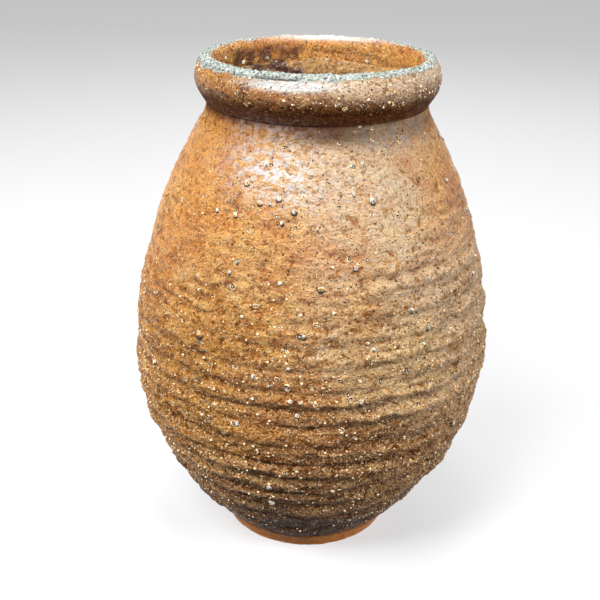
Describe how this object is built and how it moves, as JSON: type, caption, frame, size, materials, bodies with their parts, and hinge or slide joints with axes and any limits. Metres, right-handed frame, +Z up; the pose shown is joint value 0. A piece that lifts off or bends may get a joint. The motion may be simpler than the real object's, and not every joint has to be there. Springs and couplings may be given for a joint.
{
  "type": "stoneware jar",
  "caption": "Tall coil-built stoneware storage jar with a wide ridged belly, a narrow flat foot and a thick rolled rim round an open mouth.",
  "frame": {"origin": "centre of the flat foot that the jar stands on", "axes": "+Z up along the jar's axis of turning; the pictured side faces -Y"},
  "size_m": [0.2888, 0.2888, 0.4],
  "materials": {
    "ash_glazed_clay": "gritty orange-brown clay under a thin glossy natural ash glaze",
    "crusted_lip_clay": "orange glazed neck with a pale grey-green ash crust on the lip",
    "rough_inner_clay": "rough sandy clay with drops of glaze",
    "bare_clay": "smooth bare orange-brown clay"
  },
  "bodies": {
    "root": {"base_slab": "bare_clay", "floor_coil": "rough_inner_clay", "lower_wall": "ash_glazed_clay", "belly_wall": "ash_glazed_clay", "shoulder_wall": "ash_glazed_clay", "neck_collar": "crusted_lip_clay", "neck_seam_coil": "rough_inner_clay", "rim_roll": "ash_glazed_clay"}
  },
  "joints": []
}
